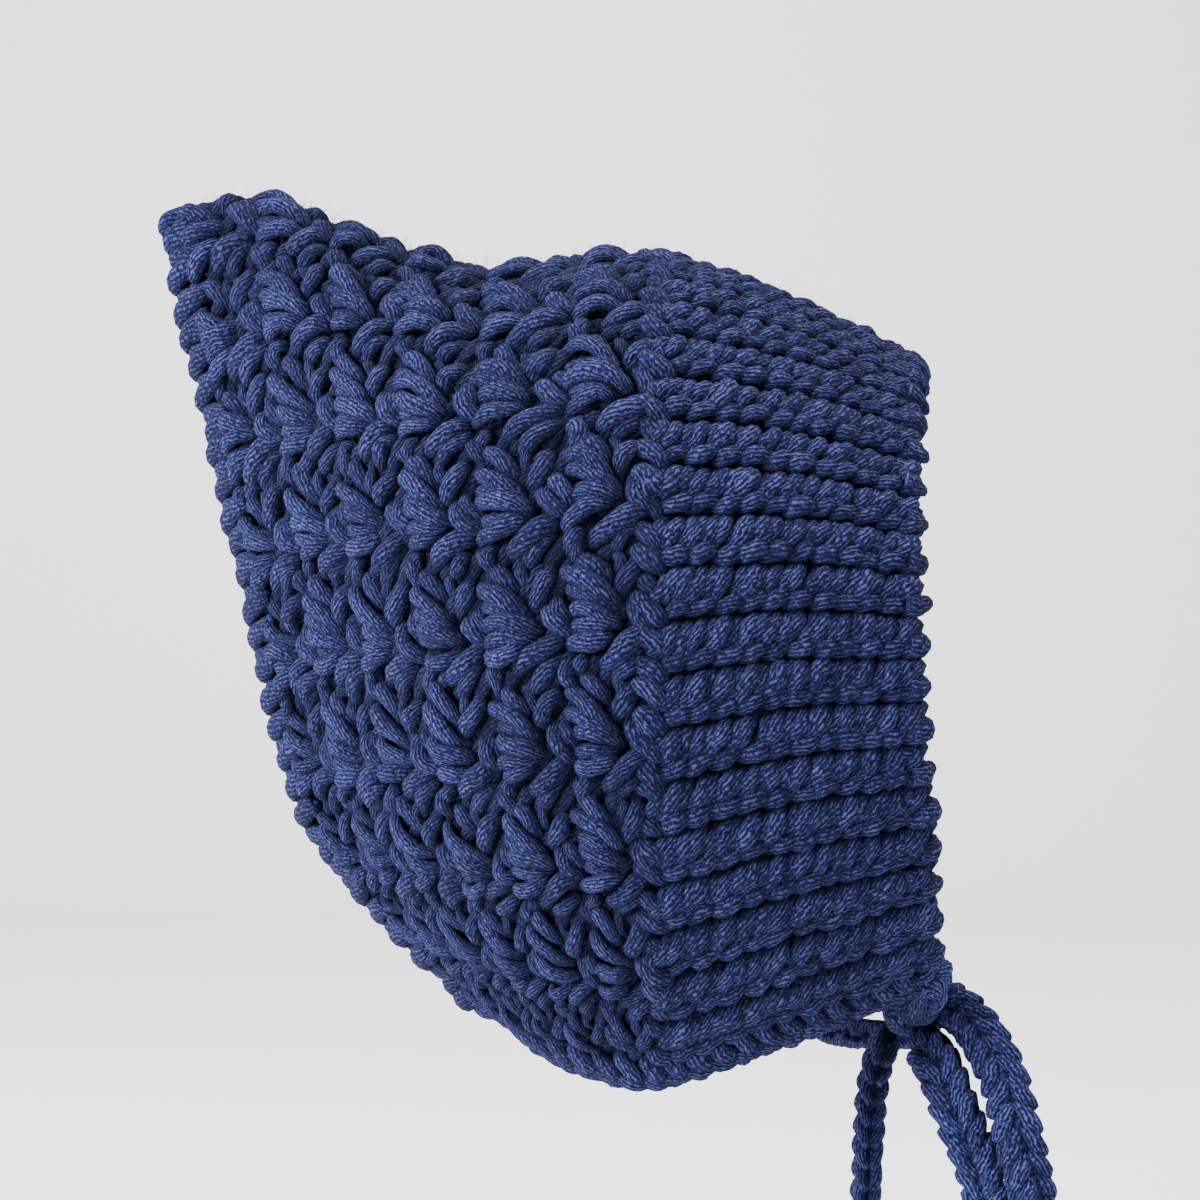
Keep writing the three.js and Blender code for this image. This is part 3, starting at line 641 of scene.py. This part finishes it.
def looseFibres(count, first, last):
    # fine fibres that stand off the yarns, as narrow curved ribbons
    at = chance.uniform(first, last, count)
    across = chance.uniform(-1, 1, count) * hemShare(at)
    root = hoodPoint(at, across, fibres["root"])
    out = hoodNormal(at, across)
    drift = unit(chance.normal(0, 1, (count, 3)))
    curl = unit(chance.normal(0, 1, (count, 3)))
    length = chance.uniform(fibres["shortest"], fibres["longest"], (count, 1))
    steps = fibres["steps"]
    share = np.linspace(0, 1, steps)[None, :, None]
    course = (out[:, None] * share * (1.15 - 0.5 * share) + fibres["drift"] * drift[:, None] * share
              + fibres["curl"] * curl[:, None] * share ** 2)
    points = root[:, None] + length[:, None] * course
    side = unit(np.cross(np.gradient(points, axis=1), drift[:, None] + 0.3))
    half = fibres["halfWidth"] * (1 - 0.6 * share) * side
    index = np.arange(count * steps).reshape(count, steps) * 2
    quads = np.stack([index[:, :-1], index[:, 1:], index[:, 1:] + 1, index[:, :-1] + 1], axis=-1)
    quads = quads.reshape(-1, 4)
    uv = np.tile(np.array([[0, 0], [0, 1], [0.1, 1], [0.1, 0]]), (len(quads), 1))
    uv[:, 1] += np.repeat(chance.uniform(0, 40, len(quads)), 4)
    return {
        "points": np.stack([points - half, points + half], axis=2).reshape(-1, 3),
        "faces": [(quads, uv)],
        "tone": np.full(2 * index.size, fibres["tone"]), "paintedShade": np.ones(2 * index.size),
    }


print("yarn helpers ready")
ofBrim = (brimYarn, "rib_crochet", "brim_band")
ofBody = (bodyYarn, "body_crochet", "hood_body")
allRibs = np.arange(brim["ribs"])
joinedPiece("brimRibsRight", brimStrands(allRibs[:brim["rightRibs"]]), *ofBrim)
joinedPiece("brimRibsLeft", brimStrands(allRibs[brim["rightRibs"]:]), *ofBrim)
joinedPiece("brimLining", [brimLining(allRibs)], *ofBrim)
joinedPiece("bodyPuffsRight", bodyStrands(-1), *ofBody)
joinedPiece("bodyPuffsLeft", bodyStrands(1), *ofBody)
joinedPiece("bodyUnderside", bodyUnder(-1) + bodyUnder(1) + jointStrands(), *ofBody)
joinedPiece("bodyLining", [bodyLining()], *ofBody)
joinedPiece("brimFibres", [looseFibres(brim["looseFibres"], 0.01, hood["brimShare"])], *ofBrim)
joinedPiece("bodyFibres", [looseFibres(body["looseFibres"], hood["brimShare"], 0.99)], *ofBody)
joinedPiece("bodyGround", [groundLayer()], *ofBody, "brim_band")


# Neck edging: a band of close stitches along the lower edge, from one chin corner to the other
edging = {
    "height": 8, "wall": 6.4,
    "setback": 5.5,  # mm from the brim's front to where the band turns into the tie
    "stitch": 5.0,  # mm
    "napeGap": 12.0,  # mm between the two back edges, closed by the band
}
# Its yarns: start, middle and end in mm along, in shares down the band and in mm of rise
edgingYarns = [
    # along, down, rise, width, count, sides
    ((2.4, 0, -2.4), (-0.3, 0.1, 0.45), (-2.8, -1.2, -2.6), 4.3, 9, 10),  # lumps
    ((3.6, 0, -3.6), (0.42, 0.48, 0.6), (-2.0, -1.1, -2.0), 3.5, 9, 8),  # chain
    ((1.6, 0, -1.6), (0.4, 0.72, 0.4), (-1.6, -3.2, -5.4), 4.4, 11, 10),  # wraps over the edge
]
edgingInner = ((0, 0, 0), (-0.3, 0.2, 0.75), (-4.4, -5.4, -4.8), 4.84, 7, 6)
edgeRun = lengthsAlong(gridPoints[:, -1])


def edgingPoint(along, down, rise):
    # along: mm from the right chin corner round the nape; down: 0 at the hem, 1 at the lower edge
    along, down, rise = np.broadcast_arrays(along, down, rise)
    first = edging["setback"]
    oneSide = edgeRun[-1] - first
    beyond = np.clip((along - oneSide) / edging["napeGap"], 0, 1)
    leftAlong = along - oneSide - edging["napeGap"]
    mm = np.where(beyond < 1, first + along, edgeRun[-1] - leftAlong)
    at = np.interp(mm, edgeRun, np.linspace(0, 1, gridRows))
    across = 1 - edging["height"] * (1 - down) / sectionLength(at)
    right, left = (fromGrid(gridPoints, at, sign * across) for sign in (-1, 1))
    rightOut, leftOut = (hoodNormal(at, sign * across) for sign in (-1, 1))
    share = beyond[..., None]
    bulge = np.sin(math.pi * share) * np.array([0, 1.4, 0])
    out = unit(rightOut * (1 - share) + leftOut * share + bulge)
    return right * (1 - share) + left * share + out * rise[..., None] + 0.8 * bulge, out


def edgingBatch(places, shifts, downs, rises, width, count, sides, inside=False):
    # one yarn for each of the places along the band
    one = np.ones(len(places))
    along = throughThree(*(places + shift for shift in shifts), count)
    down, rise = (throughThree(*(value * one for value in row), count) for row in (downs, rises))
    points, out = edgingPoint(along, down, rise)
    bend = np.abs(np.linspace(-1, 1, count))[None, :]
    broad = width * (1 - 0.35 * bend ** 2.6) * chance.normal(1, 0.05, (len(along), 1))
    if not inside and count > 9:
        out = unit(points - edgingPoint(along, 0.45, -3.2)[0])
    # painted shade: each yarn is painted darker towards its ends, where it goes into the band
    return yarnBatch(points, -out if inside else out, broad, 0.8 * broad, sides,
                     chance.uniform(0.08, 0.34, len(along)), 0.6 + 0.4 * (1 - bend ** 2) + 0 * along)


def edgingCore(total):
    # the band's inside, painted dark as painted shade between the stitches
    along = np.linspace(1, total - 1, 160)[None, :]
    points, out = edgingPoint(along, 0.3, -3.2)
    return yarnBatch(points, out, 6.2 + 0 * along, 4.0 + 0 * along, 10, np.array([0.1]), 0.25 + 0 * along)


def edgingBatches():
    total = 2 * (edgeRun[-1] - edging["setback"]) + edging["napeGap"]
    count = int(total / edging["stitch"])
    along = (np.arange(count) + 0.5) * total / count + chance.normal(0, 0.25, count)
    outer = [edgingBatch(along, *row) for row in edgingYarns]
    return outer + [edgingCore(total), edgingBatch(along, *edgingInner, True)]


# Back seam: close slanting stitches over the two back edges
seam = {
    "stitch": 6.6, "width": 5.4, "slant": 4.2,
    "end": 0.955,  # share of the way from the peak to the nape
    "over": 1.9,  # mm, how far its yarns stand off the two edges
    "seat": 0.975, "seatRise": -1.2,  # where they go down into the body
    "innerStitch": 4.6, "innerSeat": 0.955, "innerRise": -5.2,
}


def seamBatches():
    length = sectionLength(1.0)
    count = int(seam["end"] * length / seam["stitch"])
    across = seam["end"] * (np.arange(count) + 0.5 + chance.normal(0, 0.12, count)) / count
    batches = []
    for slant, over, width, between in ((seam["slant"], seam["over"], seam["width"], 0),
                                        (-seam["slant"], seam["over"] - 1.0, 0.95 * seam["width"], 0.5)):
        across = across + between * seam["end"] / count
        shift = slant / 2 / length
        right = hoodPoint(seam["seat"], -np.clip(across - shift, 0.003, 1), seam["seatRise"])
        left = hoodPoint(seam["seat"], np.clip(across + shift, 0.003, 1), seam["seatRise"])
        edge, below, above = (fromGrid(gridPoints, 1.0, -np.clip(across + step, 0, 1))
                              for step in (0, 0.01, -0.01))
        run = unit((below - above) * (0, 1, 1))
        out = np.stack([0 * run[:, 0], -run[:, 2], run[:, 1]], axis=1)
        top = edge * (0, 1, 1) + out * (over + chance.normal(0, 0.3, (count, 1)))
        points = throughThree(right, top, left, 13)
        share = np.linspace(0, 1, 13)[None, :, None]
        facing = unit(out[:, None] + (2 * share - 1) * np.array([0.9, 0, 0]))
        broad = width * (1 - 0.3 * np.abs(2 * share[..., 0] - 1) ** 2.6) * (1 + 0 * across[:, None])
        # painted shade: these yarns are painted a little darker all along
        batches.append(yarnBatch(points, facing, broad, 0.75 * broad, 10,
                                 chance.uniform(0.1, 0.3, count), np.full((count, 13), 0.85)))
    return batches


def backStrip():
    # a thin closed layer behind the seam, from one back edge to the other, painted dark as painted shade
    # behind the stitches
    across = np.linspace(0.01, 0.96, 70)
    layers = []
    for rise in (-2.2, -4.4):
        right = hoodPoint(0.97, -across, rise)
        left = right * (-1, 1, 1)
        layers.append(right[:, None] + np.linspace(0, 1, 7)[None, :, None] * (left - right)[:, None])
    ring = np.concatenate([layers[0], layers[1][:, ::-1]], axis=1)
    return ringBatch(ring[::-1], 0.1, 0.15)


def seamLining():
    # the inside of the seam: a flat yarn from one back edge to the other for each stitch
    count = int(sectionLength(1.0) / seam["innerStitch"])
    across = np.linspace(0.03, 0.95, count)
    right = hoodPoint(seam["innerSeat"], -across, seam["innerRise"])
    right[:, 0] = np.minimum(right[:, 0], -2.0)
    left = right * (-1, 1, 1)
    points = throughThree(right, (right + left) / 2 - (0, 0.9, 0), left, 9)
    broad = np.full((count, 9), 1.15 * seam["innerStitch"])
    # painted shade: the lining is painted darker, as inside the hood
    return yarnBatch(points, np.broadcast_to((0.0, -1.0, 0.0), points.shape), broad, 0.55 * broad, 8,
                     chance.uniform(0.1, 0.3, count), np.full((count, 9), 0.7))


# Ties: narrow crocheted cords, and the bow that they make under the chin
tie = {
    "width": 10.4, "thickness": 6,
    "stitch": 4.6,  # mm
    # a stitch's yarn: its width, its reach each way along the tie, and where its start, middle
    # and end lie as shares of half the tie's width and thickness
    "legWidth": 3.8, "legReach": 3.3,
    "legOut": (0.08, 0.46, 0.84), "legOver": (0.28, 0.56, 0.12),
    "coreShare": 0.72,  # of the tie's section, filled by its hidden inner yarn
    "endShare": 0.2, "chinTaper": 0.3, "loopTaper": 0.08, "tipShare": 0.8,
}
knot = {
    "centre": (0, -55.5, -159.7), "width": 13, "depth": 10.5, "height": 10.5, "yarn": 4.4, "gap": 0.3,
    "turn": 2.4,  # radians each way, so that a yarn's ends lie hidden
    "wraps": [
        # tilt and roll of the axis in radians, places along it of its yarns
        (0.5, 0.2, (-0.62, 0, 0.62)),
        (-0.7, 1.3, (-0.4, 0.4)),
        (1.4, 2.6, (-0.5, 0.1)),
    ],
}
# the routes of the loose ties, in metres, as in the CAD model
routes = {
    "tailRight": [
        (-0.004, -0.0588, -0.169), (-0.005, -0.0622, -0.1756), (-0.006, -0.067, -0.1846),
        (-0.0064, -0.0714, -0.1932), (-0.0064, -0.0744, -0.2032), (-0.0062, -0.076, -0.2162),
        (-0.006, -0.0764, -0.2292)],
    "tailLeft": [
        (0.006, -0.0526, -0.1656), (0.007, -0.0502, -0.1712), (0.0076, -0.0488, -0.1802),
        (0.0078, -0.048, -0.1962), (0.0079, -0.0474, -0.2132), (0.008, -0.047, -0.2312)],
    "loopRight": [
        (-0.004, -0.061, -0.158), (-0.012, -0.0636, -0.156), (-0.02, -0.0672, -0.1586),
        (-0.028, -0.0714, -0.1666), (-0.0325, -0.0743, -0.1789), (-0.0326, -0.0768, -0.1892),
        (-0.0314, -0.0786, -0.1976), (-0.0298, -0.0774, -0.2038), (-0.029, -0.0736, -0.2058),
        (-0.0286, -0.07, -0.2026), (-0.0284, -0.069, -0.1942), (-0.028, -0.067, -0.1862),
        (-0.0264, -0.0622, -0.1746), (-0.022, -0.06, -0.1678), (-0.014, -0.0588, -0.1656),
        (-0.0064, -0.0576, -0.1652)],
    "loopLeft": [
        (0.0056, -0.06, -0.1626), (0.015, -0.06, -0.1618), (0.028, -0.056, -0.1596),
        (0.041, -0.0516, -0.1602), (0.051, -0.0478, -0.1632), (0.056, -0.0458, -0.1678),
        (0.0544, -0.0454, -0.1724), (0.046, -0.0466, -0.1724), (0.036, -0.049, -0.1704),
        (0.025, -0.0524, -0.169), (0.016, -0.0564, -0.1676), (0.0068, -0.0586, -0.1656)],
}


def smoothRoute(points, spacing=1.0):
    # a curve through the points whose speed follows the root of their distances, evenly spaced
    points = np.asarray(points, float)
    whole = np.concatenate([[2 * points[0] - points[1]], points, [2 * points[-1] - points[-2]]])
    gaps = np.linalg.norm(np.diff(whole, axis=0), axis=1) ** 0.5
    share = np.linspace(0, 1, 24, endpoint=False)[None, :, None]
    before, here, there, after = (whole[i:len(whole) - 3 + i, None] for i in range(4))
    d0, d1, d2 = (gaps[i:len(gaps) - 2 + i, None, None] for i in range(3))
    t1 = d1 * ((here - before) / d0 - (there - before) / (d0 + d1) + (there - here) / d1)
    t2 = d1 * ((there - here) / d1 - (after - here) / (d1 + d2) + (after - there) / d2)
    curve = (here + t1 * share + (3 * (there - here) - 2 * t1 - t2) * share ** 2
             + (2 * (here - there) + t1 + t2) * share ** 3).reshape(-1, 3)
    curve = np.concatenate([curve, points[-1:]])
    along = lengthsAlong(curve)
    wanted = np.linspace(0, along[-1], max(3, int(along[-1] / spacing) + 1))
    return np.stack([np.interp(wanted, along, curve[:, i]) for i in range(3)], axis=1), along[-1]


def tieBatches(line, length, facing, endTaper):
    # a crocheted cord on the line: on both flat sides, pairs of yarns that spread from its
    # middle to its edges, over a plain inner core that is painted dark as painted shade
    place = np.linspace(0, length, len(line))
    run = unit(np.gradient(line, axis=0))
    flat = unit(facing - (facing * run).sum(axis=1, keepdims=True) * run)
    wide = np.cross(run, flat)

    def thinAt(along):
        share = np.minimum(along, length - along) / length
        return 1 - endTaper * np.clip(1 - share / tie["endShare"], 0, 1)

    def tiePoint(along, sideways, over):
        along = np.clip(along, 0, length)
        centre, flatHere, wideHere = (np.stack([np.interp(along, place, v[:, i]) for i in range(3)], axis=-1)
                                      for v in (line, flat, wide))
        thin = thinAt(along)
        return (centre + wideHere * (sideways * thin * tie["width"] / 2)[..., None]
                + flatHere * (over * thin * tie["thickness"] / 2)[..., None]), flatHere

    count = int(length / tie["stitch"])
    middle = (np.arange(count) + 0.5) * length / count
    batches = []
    for edge in (-1, 1):
        for face in (-1, 1):
            jitter = chance.normal(0, 0.2, (3, count))
            first, centre, last = (edge * share for share in tie["legOut"])
            course = [
                (middle - tie["legReach"], middle + jitter[0], middle + tie["legReach"]),
                (first, centre + 0.03 * edge * jitter[1], last),
                [face * share for share in tie["legOver"]],
            ]
            along, sideways, over = (throughThree(*(a * np.ones(count) for a in row), 9) for row in course)
            points, up = tiePoint(along, sideways, over)
            broad = tie["legWidth"] * (1 - 0.35 * np.abs(np.linspace(-1, 1, 9)) ** 2.4)[None, :] + 0 * along
            # painted shade: these yarns are painted a little darker all along
            batches.append(yarnBatch(points, up * face, broad, 0.85 * broad, 8,
                                     chance.uniform(0.08, 0.3, count), 0.85 + 0 * along))
    along = np.linspace(0.3, length - 0.3, max(4, int(length / 3)))[None, :]
    points, up = tiePoint(along, 0 * along, 0 * along)
    core = tie["coreShare"] * thinAt(along)
    # painted shade: the inner core is painted dark, as in the shade under the yarns
    batches.append(yarnBatch(points, up, tie["width"] * core, tie["thickness"] * core, 12,
                             np.array([0.1]), 0.4 + 0 * along))
    return batches


def loopFacing(line, length, knotSide):
    # the flat side faces away from the loop's axis, and beside the knot it faces knotSide
    share = np.linspace(0, 1, len(line))[:, None]
    tip = line[len(line) // 2] - knot["centre"]
    reach = np.linalg.norm(tip)
    axis = tip / reach
    arm = line - knot["centre"]
    forward = (arm @ axis)[:, None]
    outward = unit(arm - forward * axis)
    past = np.clip(forward / reach - tie["tipShare"], 0, None) / (1 - tie["tipShare"])
    outward = unit(outward + 0.8 * past * axis)
    turn = np.minimum(1, np.minimum(share, 1 - share) / (2 * tie["endShare"])) ** 2.6
    side = np.where((outward @ knotSide)[:, None] < 0, -1, 1) * knotSide
    return outward * turn + side * (1 - turn)


def chinRoute(side):
    # from the edging's end at a chin corner, forward and in under the chin to the knot
    at = np.array(edging["setback"] / hood["depth"])
    across = side * (1 - edging["height"] / 2 / sectionLength(at))
    edgingEnd = hoodPoint(at, across, -edging["wall"] / 2)
    forward = unit(edgingEnd - hoodPoint(2 * at, across, -edging["wall"] / 2))
    start = edgingEnd + forward * 2.5 * knot["gap"]
    turn = start + forward * 0.7 * tie["thickness"] + np.array([-0.2 * side, 0, -0.07]) * tie["thickness"]
    end = knot["centre"] + np.array([side * (knot["width"] / 2 - knot["gap"]), 0, knot["height"] / 4])
    middle = turn + 0.45 * (end - turn) + np.array([0, -0.3, -0.17]) * tie["thickness"]
    return [start, start + forward * 0.2 * tie["thickness"], turn, middle, end]


def knotBatches():
    # yarns wrapped round the knot in three directions
    centre = np.array(knot["centre"])
    size = (np.array([knot["width"], knot["depth"], knot["height"]]) - 0.8 * knot["yarn"]) / 2
    turn = np.linspace(-knot["turn"], knot["turn"], 17)
    batches = []
    for tilt, roll, offsets in knot["wraps"]:
        axis = np.array([math.sin(tilt) * math.cos(roll), math.sin(tilt) * math.sin(roll), math.cos(tilt)])
        first = unit(np.cross(axis, (0.3, 1, 0.2)))
        second = np.cross(axis, first)
        for offset in offsets:
            around = math.sqrt(1 - offset ** 2)
            ball = offset * axis + around * (np.cos(turn)[:, None] * first + np.sin(turn)[:, None] * second)
            points = (centre + ball * size)[None]
            broad = knot["yarn"] * (1 - 0.3 * np.abs(turn / knot["turn"]) ** 4)[None]
            # painted shade: these yarns are painted a little darker all along
            batches.append(yarnBatch(points, unit(ball / size)[None], broad, 0.8 * broad, 10,
                                     chance.uniform(0.08, 0.26, 1), np.full((1, len(turn)), 0.8)))
    return batches


def looseTie(name, node, route, facing, endTaper):
    line, length = smoothRoute(np.array(routes[route]) * 1000)
    way = facing(line, length)
    piece = joinedPiece(name, tieBatches(line, length, way, endTaper), lightenedTieYarn, "tie_crochet", node)


joinedPiece("neckEdging", edgingBatches(), edgingYarn, "edging_crochet", "neck_edging")
joinedPiece("backSeam", seamBatches() + [backStrip(), seamLining()], edgingYarn, "edging_crochet",
            "back_seam")
for name, node, side in (("chinTieRight", "chin_tie_right", -1), ("chinTieLeft", "chin_tie_left", 1)):
    line, length = smoothRoute(chinRoute(side))
    way = np.broadcast_to(np.array([-0.6 * side, 0.8, 0]), line.shape)
    joinedPiece(name, tieBatches(line, length, way, tie["chinTaper"]), lightenedTieYarn, "tie_crochet", node)
joinedPiece("bowKnot", knotBatches(), lightenedTieYarn, "tie_crochet", "bow_knot")
looseTie("bowLoopRight", "bow_loop_right", "loopRight",
         lambda line, length: loopFacing(line, length, np.array([-0.98, 0.2, 0])), tie["loopTaper"])
looseTie("bowLoopLeft", "bow_loop_left", "loopLeft",
         lambda line, length: loopFacing(line, length, np.array([0, 0, 1.0])), tie["loopTaper"])
for name, node, route in (("bowTailRight", "bow_tail_right", "tailRight"),
                          ("bowTailLeft", "bow_tail_left", "tailLeft")):
    looseTie(name, node, route,
             lambda line, length: np.cross((1, 0, 0), unit(np.gradient(line, axis=0))), 0)
print("hood and ties dressed")


# Stage: a pale floor that runs up into a backdrop, and soft light
stage = {
    "floor": -0.26, "front": -1.6, "back": 0.9, "bend": 0.35, "top": 2.4, "halfWidth": 4.0,  # m
    "colour": "#e0dfe2", "roughness": 0.9,
    "worldColour": "#eceef2", "worldStrength": 0.22,
}


def backdrop():
    # floor, quarter round and wall as one sheet, drawn out along Y
    turn = np.linspace(0, math.pi / 2, 17)
    bend = stage["bend"]
    x = np.concatenate([[stage["front"]], stage["back"] + bend * np.sin(turn), [stage["back"] + bend]])
    z = np.concatenate([[0], bend * (1 - np.cos(turn)), [stage["top"]]]) + stage["floor"]
    y = np.array([-1, 1]) * stage["halfWidth"]
    points = np.stack([np.repeat(x, 2), np.tile(y, len(x)), np.repeat(z, 2)], axis=1)
    index = np.arange(len(x) - 1) * 2
    faces = np.stack([index, index + 2, index + 3, index + 1], axis=1)
    mesh = bpy.data.meshes.new("backdrop")
    mesh.from_pydata(points.tolist(), [], faces.tolist())
    mesh.polygons.foreach_set("use_smooth", np.ones(len(faces), bool))
    paint = bpy.data.materials.new("matteWallPaint")
    paint.use_nodes = True
    shader = paint.node_tree.nodes["Principled BSDF"]
    shader.inputs["Base Color"].default_value = linear(stage["colour"])
    shader.inputs["Roughness"].default_value = stage["roughness"]
    mesh.materials.append(paint)
    sheet = bpy.data.objects.new("backdrop", mesh)
    bpy.context.scene.collection.objects.link(sheet)


lights = [
    # name, place, target, size, watts, colour
    ("overhead", (0.0, -0.48, 0.85), (0, -0.02, -0.08), 0.7, 31, "#fffaf4"),
    ("window", (-0.45, 1.0, 0.34), (0, 0.03, -0.06), 0.7, 76, "#f8f6fa"),
    ("fill", (-0.8, -1.0, 0.45), (0, 0.0, -0.08), 0.9, 6, "#ffffff"),
    ("wall", (0.3, 0.0, 1.2), (1.2, 0, 0.15), 0.8, 12, "#ffffff"),
]


def softLights():
    for name, place, target, size, watts, colour in lights:
        data = bpy.data.lights.new(name, "AREA")
        data.size = size
        data.energy = watts
        data.color = linear(colour)[:3]
        lamp = bpy.data.objects.new(name, data)
        lamp.location = place
        aim = np.array(target) - np.array(place)
        lamp.rotation_euler = (math.atan2(math.hypot(aim[0], aim[1]), -aim[2]), 0,
                               math.atan2(aim[1], aim[0]) - math.pi / 2)
        bpy.context.scene.collection.objects.link(lamp)
    world = bpy.data.worlds.new("studio")
    world.use_nodes = True
    background = world.node_tree.nodes["Background"]
    background.inputs["Color"].default_value = linear(stage["worldColour"])
    background.inputs["Strength"].default_value = stage["worldStrength"]
    bpy.context.scene.world = world


backdrop()
softLights()
print("stage ready")
